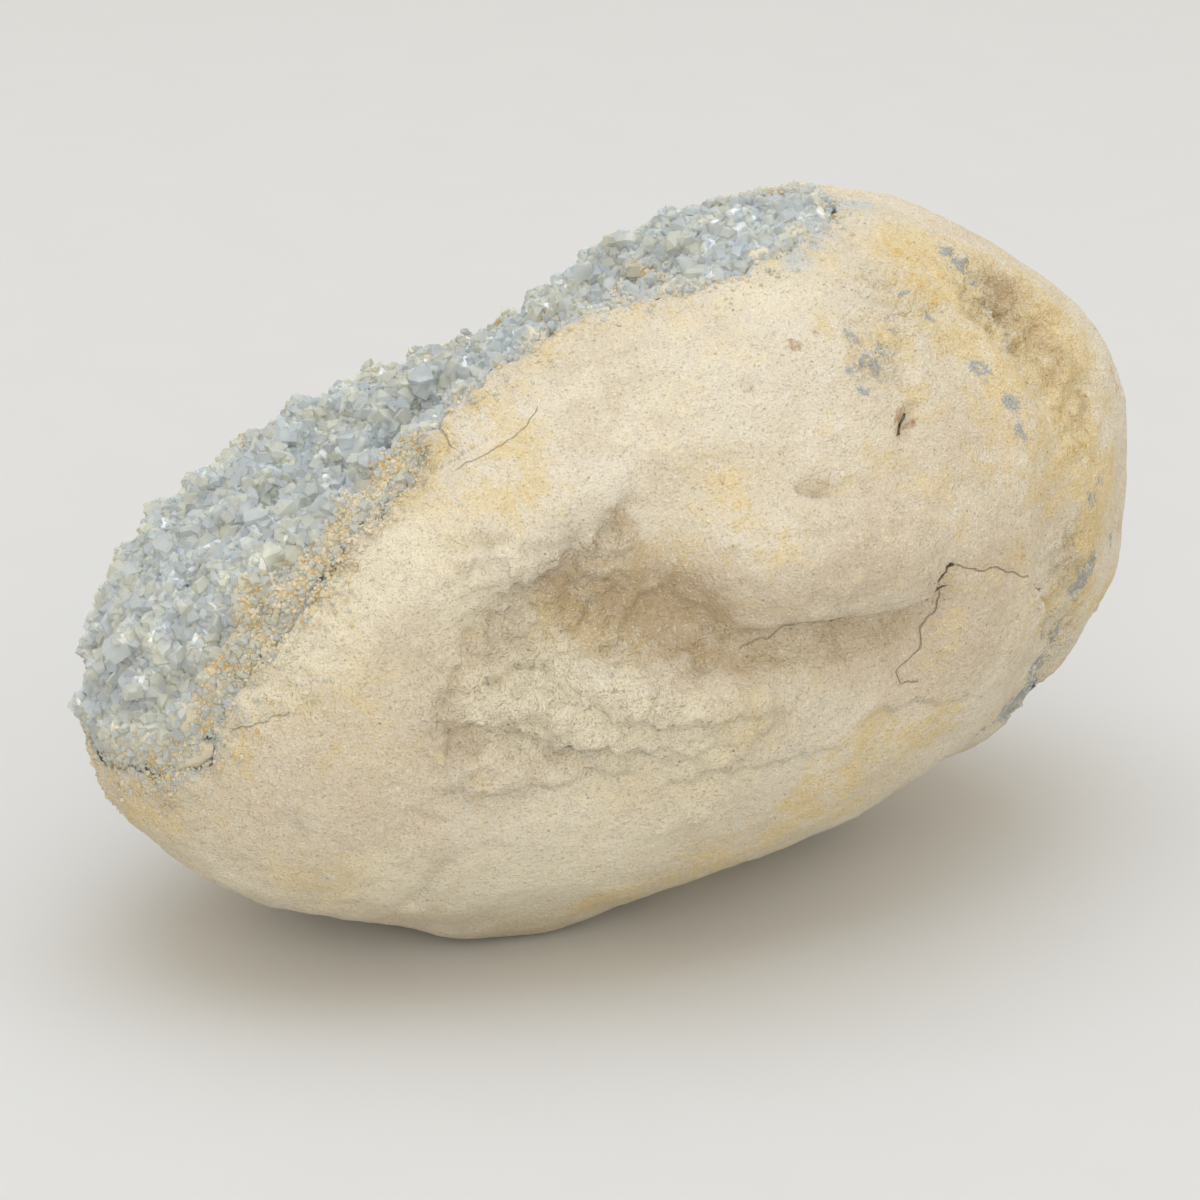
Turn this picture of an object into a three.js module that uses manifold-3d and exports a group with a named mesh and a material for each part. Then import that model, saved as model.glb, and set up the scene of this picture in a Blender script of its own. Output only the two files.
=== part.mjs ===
// A celestite geode: an egg-shaped limestone nodule, broken open along its top and left end
// onto a long hollow that is lined with one crust of pale blue crystals.
// Millimetres and degrees. +X runs along the nodule to its blunt end, -Y is its broad smooth side,
// +Z is up, and the origin is on the surface that it rests on, below the middle of its box.
import * as THREE from "three";
import { ConvexGeometry } from "three/addons/geometries/ConvexGeometry.js";
import { MeshSurfaceSampler } from "three/addons/math/MeshSurfaceSampler.js";
import { mergeVertices } from "three/addons/utils/BufferGeometryUtils.js";
import Module from "manifold-3d";

const wasm = await Module();
wasm.setup();

const vec = (x, y, z) => new THREE.Vector3(x, y, z);

// The nodule is an egg on its side: the blunt end is lifted by the pitch, and thicker by the taper.
const nodule = {
  length: 178,
  width: 103,
  height: 104,
  pitch: 11,
  taper: 0.055,
  lift: 50, // its centre's height over the surface that it rests on
  meshDetail: 13,
  finerSide: vec(-0.08, -0.33, 0.05), // the mesh is finer on this side, the one with the ledges
};

// The opening's own axes: along its length, across it towards the far side, and up out of it.
const opening = {
  middle: vec(-25.5, 5, 22), // from the nodule's centre
  along: vec(125, 10, 66).normalize(),
  up: vec(-0.46, 0.355, 0.815),
  rim: [ // [along, across], from the pointed end past the near side to the blunt end and back
    [-71, 1], [-66, -16], [-55, -23], [-37, -29], [-10, -28], [18, -26], [42, -27], [60, -20],
    [70, -5], [67, 9], [57, 17], [47, 29], [30, 39], [8, 34], [-18, 26], [-45, 20], [-64, 16],
  ],
  wallFoot: -11, // the wall is upright above this height
  depth: 27, // from the middle of the opening to the floor of the hollow in the limestone
  rise: 42, // how far the cutter reaches out past the limestone
};

const crust = {
  wallGap: 0.4, // between the crust and the limestone
  gapSpread: 1.6, // the gap is drawn wider towards the middle, because the wall is oblique to it
  thinnest: 2,
  sunk: 2, // the crust's broken rim lies this far under the nodule's skin
  hollowDepth: 22,
  hollowFrom: -52, // the pointed end is filled with crystals up to here along the opening
  hollowTo: -8, // and the hollow has its full depth from here on
  fillDip: 3, // how far the filled end sags
  smallest: 6.5, // crystals by the rim
  largest: 12, // crystals on the floor of the hollow
  spacing: 0.8, // between crystals, as a share of their size
  root: 0.56, // the share of a crystal that is buried in the crust
  tries: 1500,
  seed: 7,
};

// Bosses and dents of the limestone, each from one point to another. Points are from the nodule's
// centre, rise is outwards, and reach is how far from the line it fades.
const swells = [
  { name: "dent under the ledge", from: [-40, -43, 6], to: [-17, -47, 11], reach: 9, rise: -6 },
  { name: "throat of the dent", from: [-12, -50, 8], to: [22, -53, 5], reach: 5.5, rise: -2.6 },
  { name: "smooth lobe", from: [-6, -49, 19], to: [19, -50, 15], reach: 9.5, rise: 3.4 },
  { name: "brow over the ledge", from: [-52, -37, 13], to: [-24, -40, 27], reach: 6.5, rise: 2.2 },
  { name: "foot at the pointed end", from: [-37, -19, -47], to: [-24, -21, -47], reach: 8, rise: 2.4 },
  { name: "rough ridge under the dent", from: [-50, -40, 0], to: [-12, -50, -4], reach: 5.5, rise: 2.0 },
  { name: "chipped facet", from: [-40, -44, -9], to: [-16, -48, -11], reach: 7, rise: -1.6 },
  { name: "plate by the crack", from: [34, -49, 2], to: [36, -48, -10], reach: 10, rise: 1.4 },
  { name: "hollow by the rim", from: [-54, -21, 25], to: [-44, -24, 32], reach: 4, rise: -2.6 },
  { name: "pocket in the blunt end", from: [54, -28, 41], to: [61, -32, 31], reach: 8, rise: -5.0 },
  { name: "lip of the pocket", from: [43, -30, 44], to: [50, -39, 28], reach: 5, rise: 1.8 },
  { name: "notch at the blunt end", from: [72, -30, 20], to: [77, -24, 10], reach: 9, rise: -2.2 },
  { name: "dent on the far side", from: [-20, 46, -6], to: [14, 49, -12], reach: 12, rise: -4.2 },
  { name: "boss on the far side", from: [30, 44, 12], to: [48, 38, 4], reach: 13, rise: 3.0 },
  { name: "ridge on the far side", from: [-46, 36, -14], to: [-4, 48, 10], reach: 7, rise: 2.0 },
  { name: "heel under the blunt end", from: [6, 8, -52], to: [26, 12, -50], reach: 17, rise: 3.4 },
  { name: "flat low on the near side", from: [4, -22, -46], to: [38, -26, -35], reach: 11, rise: -3.4 },
  { name: "jaw of the blunt end", from: [52, -26, -27], to: [76, -20, -5], reach: 9, rise: 2.8 },
  { name: "flat under the pointed end", from: [-74, 0, -37], to: [-50, -10, -47], reach: 11, rise: -1.8 },
  { name: "flat over the blunt end", from: [76, -2, 36], to: [70, 2, 40], reach: 12, rise: -1.2 },
  { name: "crest at the opening's end", from: [38, 12, 50], to: [42, 8, 50], reach: 7, rise: 1.6 },
];

// Ledges: the skin steps down past a line, on the side that faces down, and comes back as it fades.
const ledges = [
  {
    name: "ledge over the dent",
    line: [[-52, -37, 6], [-42, -40, 13], [-33, -41, 19], [-20, -42, 26]],
    down: vec(0.45, -0.1, -0.9),
    drop: 2.6,
    fade: 12,
  },
  {
    name: "crack under the lobe",
    line: [[-8, -51, 8], [11, -52, 8], [24, -51, 9], [28, -50, 12]],
    down: vec(0, -0.1, -1),
    drop: 1.6,
    fade: 9,
  },
  {
    name: "edge of the blunt end's skin",
    line: [[50, -45, 8], [54, -41, -6], [50, -41, -20]],
    down: vec(1, 0.3, 0),
    drop: 2.0,
    fade: 16,
  },
];
const ledgeWidth = 2.5;

// Broad weathered unevenness, as the size of the lumps and their height.
const weathering = [
  { size: 26, height: 1.0 },
  { size: 11, height: 0.6 },
];

// A repeatable number from 0 to 1 for a whole-number place.
function hash(i, j, k) {
  const s = Math.sin(i * 127.1 + j * 311.7 + k * 74.7) * 43758.5453;
  return s - Math.floor(s);
}

// Smooth lumps from -1 to 1, about one unit apart.
function lumps(x, y, z) {
  const [i, j, k] = [Math.floor(x), Math.floor(y), Math.floor(z)];
  const ease = (t) => t * t * (3 - 2 * t);
  const [u, v, w] = [ease(x - i), ease(y - j), ease(z - k)];
  const mix = THREE.MathUtils.lerp;
  const edge = (b, c) => mix(hash(i, j + b, k + c), hash(i + 1, j + b, k + c), u);
  return 2 * mix(mix(edge(0, 0), edge(1, 0), v), mix(edge(0, 1), edge(1, 1), v), w) - 1;
}

// A repeatable stream of numbers from 0 to 1.
function randomStream(seed) {
  let state = seed;
  return () => {
    state = (state * 1664525 + 1013904223) % 4294967296;
    return state / 4294967296;
  };
}

const segmentOf = (from, to) => new THREE.Line3(vec(...from), vec(...to));
for (const swell of swells) swell.segment = segmentOf(swell.from, swell.to);
for (const ledge of ledges) {
  ledge.segments = ledge.line.slice(1).map((end, i) => segmentOf(ledge.line[i], end));
}

const nearestOn = (segment, point) => segment.closestPointToPoint(point, true, vec(0, 0, 0));

function swellRise(point) {
  return swells.reduce((sum, { segment, reach, rise }) => {
    const away = nearestOn(segment, point).distanceTo(point) / reach;
    return sum + rise * Math.exp(-away * away);
  }, 0);
}

function ledgeDrop(point) {
  return ledges.reduce((sum, { segments, down, drop, fade }) => {
    const feet = segments.map((segment) => nearestOn(segment, point));
    const gaps = feet.map((foot) => foot.distanceTo(point));
    const closest = gaps.indexOf(Math.min(...gaps));
    const below = point.clone().sub(feet[closest]).dot(down);
    const step = THREE.MathUtils.smoothstep(below, -ledgeWidth / 2, ledgeWidth / 2);
    return sum - drop * step * Math.exp(-((gaps[closest] / fade) ** 2));
  }, 0);
}

const pitch = THREE.MathUtils.degToRad(nodule.pitch);
const longAxis = vec(Math.cos(pitch), 0, Math.sin(pitch));
const uprightAxis = vec(-Math.sin(pitch), 0, Math.cos(pitch));

// How far the nodule's skin is from its centre in a direction.
function skinRadius(direction) {
  const lengthwise = direction.dot(longAxis);
  const girth = 1 + nodule.taper * lengthwise;
  const egg = 1 / Math.hypot(
    lengthwise / (nodule.length / 2),
    direction.y / (girth * nodule.width / 2),
    direction.dot(uprightAxis) / (girth * nodule.height / 2),
  );
  const point = direction.clone().multiplyScalar(egg);
  const uneven = weathering.reduce(
    (sum, { size, height }) => sum + height * lumps(point.x / size, point.y / size, point.z / size),
    0,
  );
  return egg + swellRise(point) + ledgeDrop(point) + uneven;
}

// The nodule's whole skin, as one closed mesh about its centre.
function noduleGeometry() {
  const geometry = new THREE.IcosahedronGeometry(1, nodule.meshDetail);
  const place = geometry.getAttribute("position");
  const direction = vec(0, 0, 0);
  for (let i = 0; i < place.count; i++) {
    direction.fromBufferAttribute(place, i).normalize().add(nodule.finerSide).normalize();
    direction.multiplyScalar(skinRadius(direction));
    place.setXYZ(i, direction.x, direction.y, direction.z);
  }
  return geometry;
}

opening.up.addScaledVector(opening.along, -opening.up.dot(opening.along)).normalize();
opening.across = vec(0, 0, 0).crossVectors(opening.up, opening.along);

// A place in the opening's axes, as a point from the nodule's centre.
function inOpening(along, across, up) {
  return opening.middle
    .clone()
    .addScaledVector(opening.along, along)
    .addScaledVector(opening.across, across)
    .addScaledVector(opening.up, up);
}

// The rim's outline as a smooth closed curve in the opening's axes.
const rimCurve = new THREE.CatmullRomCurve3(
  opening.rim.map(([along, across]) => vec(along, across, 0)),
  true,
);

// The floor of the hollow in the limestone, at a share of the way out to the rim.
function limestoneFloor(share) {
  const bowl = Math.sqrt(Math.max(0, 1 - share ** 2.4));
  return opening.wallFoot - (opening.depth + opening.wallFoot) * bowl;
}

// Height of the nodule's skin over a place in the opening.
function skinHeight(along, across) {
  let [low, high] = [-20, 40];
  for (let i = 0; i < 24; i++) {
    const middle = (low + high) / 2;
    const point = inOpening(along, across, middle);
    const radius = point.length();
    if (radius < skinRadius(point.normalize())) low = middle;
    else high = middle;
  }
  return low;
}

// Height of the crust between its crystals: the broken rim, the filled end and the hollow.
function crustHeight(along, across, share) {
  const { thinnest, sunk, hollowDepth, hollowFrom, hollowTo, fillDip } = crust;
  const rim = skinHeight(along, across) - sunk;
  const inwards = THREE.MathUtils.smoothstep(1 - share, 0, 0.7);
  const open = THREE.MathUtils.smoothstep(along, hollowFrom, hollowTo);
  const lumpy = 1.2 * lumps(along / 8, across / 8, 3);
  const height = rim + lumpy - inwards * THREE.MathUtils.lerp(fillDip, hollowDepth, open);
  return Math.max(height, limestoneFloor(share) + thinnest);
}

// A mesh from rings of points, each ring one list: drawn together to a point at the top, and at
// the bottom too if there is one there. Otherwise the first ring stays open.
function ringGeometry(rings, top, bottom = null) {
  const count = rings[0].length;
  const points = [top, ...rings.flat()];
  const at = (ring, i) => 1 + ring * count + (i % count);
  const faces = [];
  for (let i = 0; i < count; i++) {
    faces.push(0, at(rings.length - 1, i), at(rings.length - 1, i + 1));
    for (let ring = 1; ring < rings.length; ring++) {
      faces.push(at(ring - 1, i), at(ring - 1, i + 1), at(ring, i + 1));
      faces.push(at(ring - 1, i), at(ring, i + 1), at(ring, i));
    }
    if (bottom) faces.push(points.length, at(0, i + 1), at(0, i));
  }
  if (bottom) points.push(bottom);
  const geometry = new THREE.BufferGeometry().setFromPoints(points);
  geometry.setIndex(faces);
  geometry.computeVertexNormals();
  return geometry;
}

// The rings of the bowl and of the crust's inside lie at these shares of the way out to the rim.
const rimPoints = 36;
const rim = rimCurve.getPoints(rimPoints).slice(1);
const floorShares = [0.5, 0.82, 1];
const crustShares = [1, 0.85, 0.68, 0.5, 0.3];
const crustFit = 0.985; // keeps the crust's inside clear of its own outside at the rim

// One ring of the bowl, where gap draws it in from the limestone.
function bowlRing(share, up, gap) {
  return rim.map((point) => {
    const inwards = share * (1 - (crust.gapSpread * gap) / point.length());
    return inOpening(point.x * inwards, point.y * inwards, up);
  });
}

const bowlRings = (gap) => floorShares.map((share) => bowlRing(share, limestoneFloor(share) + gap, gap));

const bowlBottom = (gap) => inOpening(0, 0, limestoneFloor(0) + gap);

// The hollow in the limestone as a closed bowl that stands out past the skin.
function bowlGeometry(gap) {
  const rings = [...bowlRings(gap), bowlRing(1, opening.rise, gap)];
  return ringGeometry(rings, inOpening(0, 0, opening.rise), bowlBottom(gap));
}

// The inside of the crust, without its crystals.
const crustMiddle = inOpening(0, 0, crustHeight(0, 0, 0));
const crustRings = crustShares.map((share) =>
  rim.map((point) => {
    const [along, across] = [point.x * share * crustFit, point.y * share * crustFit];
    return inOpening(along, across, crustHeight(along, across, share));
  }),
);

const rootWidth = 0.72; // a crystal's width at its root, as a share of that at its shoulder

// One blocky crystal with a chisel tip, standing on its root at the origin, one unit tall.
function crystalGeometry(width, depth, shoulder, ridge) {
  const corners = [[-1, -1], [1, -1], [1, 1], [-1, 1]];
  const at = (grow, height) =>
    corners.map(([x, y]) => vec((x * width * grow) / 2, (y * depth * grow) / 2, height));
  const tip = [vec((-ridge * width) / 2, 0, 1), vec((ridge * width) / 2, 0, 1)];
  return new ConvexGeometry([...at(rootWidth, 0), ...at(1, shoulder), ...tip]);
}

// The crystals: small by the rim and large in the hollow, each clear of the ones before it.
function crystalSolids() {
  const random = randomStream(crust.seed);
  const inside = new THREE.Mesh(ringGeometry(crustRings, crustMiddle));
  const sampler = new MeshSurfaceSampler(inside).setRandomGenerator(random).build();
  const crystals = [];
  for (let i = 0; i < crust.tries; i++) {
    const [root, normal] = [vec(0, 0, 0), vec(0, 0, 0)];
    sampler.sample(root, normal);
    const depth = skinRadius(root.clone().normalize()) - root.length();
    const inHollow = THREE.MathUtils.smoothstep(depth, crust.sunk, crust.hollowDepth * 0.8);
    const size = THREE.MathUtils.lerp(crust.smallest, crust.largest, inHollow * (0.6 + 0.4 * random()));
    const isClear = crystals.every((other) => other.root.distanceTo(root) > crust.spacing * size);
    if (isClear) crystals.push({ root, normal, size });
  }
  return crystals.map(({ root, normal, size }) => {
    const lean = vec(random() - 0.5, random() - 0.5, random() - 0.5).multiplyScalar(0.9);
    const geometry = crystalGeometry(
      0.62 + 0.3 * random(),
      0.5 + 0.2 * random(),
      0.6 + 0.16 * random(),
      0.25 + 0.4 * random(),
    );
    geometry.scale(size, size, size);
    geometry.translate(0, 0, -size * crust.root);
    geometry.rotateZ(2 * Math.PI * random());
    geometry.applyQuaternion(
      new THREE.Quaternion().setFromUnitVectors(vec(0, 0, 1), normal.add(lean).normalize()),
    );
    geometry.translate(...root.toArray());
    return solidOf(geometry);
  });
}

// A closed three.js mesh as a solid that can be cut and joined, and back again.
function solidOf(geometry) {
  const bare = geometry.clone();
  bare.deleteAttribute("normal");
  bare.deleteAttribute("uv");
  const merged = mergeVertices(bare, 1e-4);
  return new wasm.Manifold(
    new wasm.Mesh({
      numProp: 3,
      vertProperties: merged.getAttribute("position").array,
      triVerts: new Uint32Array(merged.index.array),
    }),
  );
}

function geometryOf(solid) {
  const mesh = solid.getMesh();
  const geometry = new THREE.BufferGeometry();
  geometry.setAttribute("position", new THREE.BufferAttribute(mesh.vertProperties, 3));
  geometry.setIndex(new THREE.BufferAttribute(mesh.triVerts, 1));
  geometry.computeVertexNormals();
  return geometry;
}

// Everything under the surface that the nodule rests on, in the nodule's axes.
function groundSolid() {
  const size = 400;
  const box = new THREE.BoxGeometry(size, size, size);
  box.translate(0, 0, -nodule.lift - size / 2);
  return solidOf(box);
}

function matrixMesh() {
  const solid = solidOf(noduleGeometry()).subtract(solidOf(bowlGeometry(0))).subtract(groundSolid());
  const limestone = new THREE.MeshStandardMaterial({ color: 0xd9cba9, roughness: 0.95, metalness: 0 });
  const mesh = new THREE.Mesh(geometryOf(solid), limestone);
  mesh.name = "matrix";
  return mesh;
}

function crustMesh() {
  const room = solidOf(bowlGeometry(crust.wallGap));
  const rings = [...bowlRings(crust.wallGap), ...crustRings];
  const base = solidOf(ringGeometry(rings, crustMiddle, bowlBottom(crust.wallGap)));
  const solid = crystalSolids().reduce((grown, crystal) => grown.add(crystal), base).intersect(room);
  const celestite = new THREE.MeshStandardMaterial({ color: 0xb3c1c8, roughness: 0.3, metalness: 0 });
  const mesh = new THREE.Mesh(geometryOf(solid), celestite);
  mesh.name = "crystal_crust";
  return mesh;
}

const geode = new THREE.Group();
geode.add(matrixMesh(), crustMesh());

const box = new THREE.Box3().setFromObject(geode);
geode.position.set(-(box.min.x + box.max.x) / 2, -(box.min.y + box.max.y) / 2, nodule.lift);

export default geode;
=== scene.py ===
import math

import bpy
import numpy as np
from mathutils import Matrix, Vector, noise
from mathutils.bvhtree import BVHTree


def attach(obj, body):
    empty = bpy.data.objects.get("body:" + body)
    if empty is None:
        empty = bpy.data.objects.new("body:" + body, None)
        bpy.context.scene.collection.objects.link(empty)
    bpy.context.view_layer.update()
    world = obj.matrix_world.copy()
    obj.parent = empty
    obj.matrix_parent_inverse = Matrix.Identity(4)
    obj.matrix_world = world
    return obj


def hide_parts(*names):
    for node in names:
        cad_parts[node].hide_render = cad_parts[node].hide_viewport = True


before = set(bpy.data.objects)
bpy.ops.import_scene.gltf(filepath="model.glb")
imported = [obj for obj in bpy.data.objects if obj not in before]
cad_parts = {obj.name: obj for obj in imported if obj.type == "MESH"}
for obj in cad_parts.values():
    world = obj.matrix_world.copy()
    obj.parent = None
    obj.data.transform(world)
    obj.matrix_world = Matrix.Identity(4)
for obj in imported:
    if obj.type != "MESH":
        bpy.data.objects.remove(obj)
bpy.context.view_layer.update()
mm = 0.001
noduleMiddle = Vector((-0.512, 0.620, 50.0)) * mm  # middle of the egg that the opening is measured from

# The opening's own axes: along it, across it and out of it, and its outline on those, in mm
opening = {
    "middle": Vector((-25.5, 5.0, 22.0)),
    "along": Vector((125.0, 10.0, 66.0)),
    "up": Vector((-0.46, 0.355, 0.815)),
    "rim": [
        (-71, 1), (-66, -16), (-55, -23), (-37, -29), (-10, -28), (18, -26), (42, -27), (60, -20), (70, -5),
        (67, 9), (57, 17), (47, 29), (30, 39), (8, 34), (-18, 26), (-45, 20), (-64, 16),
    ],
}
openingAlong = opening["along"].normalized()
openingUp = (opening["up"] - openingAlong * opening["up"].dot(openingAlong)).normalized()
openingAcross = openingUp.cross(openingAlong)


def linearColour(code):
    channels = [int(code[i : i + 2], 16) / 255 for i in (1, 3, 5)]
    return (*[c / 12.92 if c <= 0.04045 else ((c + 0.055) / 1.055) ** 2.4 for c in channels], 1.0)


# One node with its settings. Each is a property or an input, and takes a value, a colour code or another
# node's output
def addNode(tree, kind, settings, output=None):
    node = tree.nodes.new("ShaderNode" + kind)
    for key, value in settings.items():
        if not isinstance(key, int) and key not in node.inputs:
            setattr(node, key, value)
        elif isinstance(value, bpy.types.NodeSocket):
            tree.links.new(value, node.inputs[key])
        else:
            isColour = isinstance(value, str) and value.startswith("#")
            node.inputs[key].default_value = linearColour(value) if isColour else value
    return node if output is None else node.outputs[output]


# A material with its noises, each given a size in mm, detail and roughness
def newMaterial(name, sizes):
    material = bpy.data.materials.new(name)
    material.use_nodes = True
    tree = material.node_tree
    tree.nodes.clear()
    place = addNode(tree, "TexCoord", {}, "Object")
    noises = {}
    for key, (size, detail, rough) in sizes.items():
        look = {"Vector": place, "Scale": 1 / (size * mm), "Detail": detail, "Roughness": rough}
        noises[key] = addNode(tree, "TexNoise", look, "Fac")
    return material, tree, place, noises


def selectOnly(piece):
    bpy.ops.object.select_all(action="DESELECT")
    piece.select_set(True)
    bpy.context.view_layer.objects.active = piece


def selectFaces(piece, chosen):
    mesh = piece.data
    bpy.context.tool_settings.mesh_select_mode = (False, False, True)
    mesh.vertices.foreach_set("select", np.zeros(len(mesh.vertices), bool))
    mesh.edges.foreach_set("select", np.zeros(len(mesh.edges), bool))
    mesh.polygons.foreach_set("select", chosen)


# A copy of a CAD node as one joined skin
def copyOfNode(node, name):
    piece = bpy.data.objects.new(name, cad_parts[node].data.copy())
    piece.data.name = name
    piece.data.materials.clear()
    bpy.context.scene.collection.objects.link(piece)
    selectOnly(piece)
    bpy.ops.object.mode_set(mode="EDIT")
    bpy.ops.mesh.select_all(action="SELECT")
    bpy.ops.mesh.remove_doubles(threshold=0.001 * mm)
    bpy.ops.object.mode_set(mode="OBJECT")
    return piece


def applyModifier(piece, kind, **settings):
    selectOnly(piece)
    modifier = piece.modifiers.new(kind.lower(), kind)
    for key, value in settings.items():
        setattr(modifier, key, value)
    bpy.ops.object.modifier_apply(modifier=modifier.name)


# One property of every corner, face or loop, as an array with this many columns
def valuesOf(items, key, columns=1, kind=float):
    values = np.empty(len(items) * columns, kind)
    items.foreach_get(key, values)
    return values.reshape(-1, columns) if columns > 1 else values


def fromMiddle(places):
    return (places - np.array(noduleMiddle)) / mm


# Places of the corners in mm from the middle of the egg, and the way that each faces
def spotsOf(piece):
    mesh = piece.data
    return fromMiddle(valuesOf(mesh.vertices, "co", 3)), valuesOf(mesh.vertex_normals, "vector", 3)


def moveSpots(piece, spots):
    piece.data.vertices.foreach_set("co", (spots * mm + np.array(noduleMiddle)).ravel())
    piece.data.update()


def storeValue(piece, name, values):
    layer = piece.data.attributes.new(name, "FLOAT", "POINT")
    layer.data.foreach_set("value", np.asarray(values, np.float32))


def smoothStep(low, high, value):
    share = np.clip((value - low) / (high - low), 0, 1)
    return share * share * (3 - 2 * share)


# Soft lumps of noise, about -1 to 1, of a size in mm
def lumps(spots, size, octaves=3, shift=0.0):
    offset = Vector((shift, 2.3 * shift, -1.7 * shift))
    return np.array([noise.fractal(Vector(spot) / size + offset, 1.0, 2.0, octaves) for spot in spots])


# Several lumps added to a base, each with its height in mm, size in mm, octaves and shift
def heaped(spots, layers, base=0):
    return sum((height * lumps(spots, *shape) for height, *shape in layers), base)


# Creased lumps, as on a broken face, 0 and up
def creases(spots, size, octaves, shift):
    offset = Vector((shift, -shift, 2 * shift))
    return np.array([noise.turbulence(Vector(spot) / size + offset, octaves, True) for spot in spots])


# The camera comes first, because marks on the stone are laid by where the photograph shows them
view = {
    "azimuth": math.radians(-27),
    "elevation": math.radians(21),
    "lens": 116.0,
    "sensor": 36.0,
    "distance": 0.6,
    "aim": Vector((-0.0040, 0.00015, 0.04477)),
    "imageSide": 1200,
}
viewBack = Vector(
    (
        math.sin(view["azimuth"]) * math.cos(view["elevation"]),
        -math.cos(view["azimuth"]) * math.cos(view["elevation"]),
        math.sin(view["elevation"]),
    )
)
viewRight = Vector((math.cos(view["azimuth"]), math.sin(view["azimuth"]), 0))
viewUp = viewBack.cross(viewRight)
viewSpot = view["aim"] + viewBack * view["distance"]


def makeCamera():
    bpy.ops.object.camera_add(location=viewSpot)
    camera = bpy.context.object
    camera.rotation_euler = Matrix((viewRight, viewUp, viewBack)).transposed().to_euler()
    camera.data.lens = view["lens"]
    camera.data.sensor_width = view["sensor"]
    camera.data.clip_end = 20
    bpy.context.scene.camera = camera


# The line of sight through one point of the photograph
def sightLine(x, y):
    half = view["imageSide"] / 2
    spread = view["sensor"] / view["lens"] / view["imageSide"]
    return (viewRight * (x - half) * spread + viewUp * (half - y) * spread - viewBack).normalized()


makeCamera()
print("camera placed")


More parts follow.
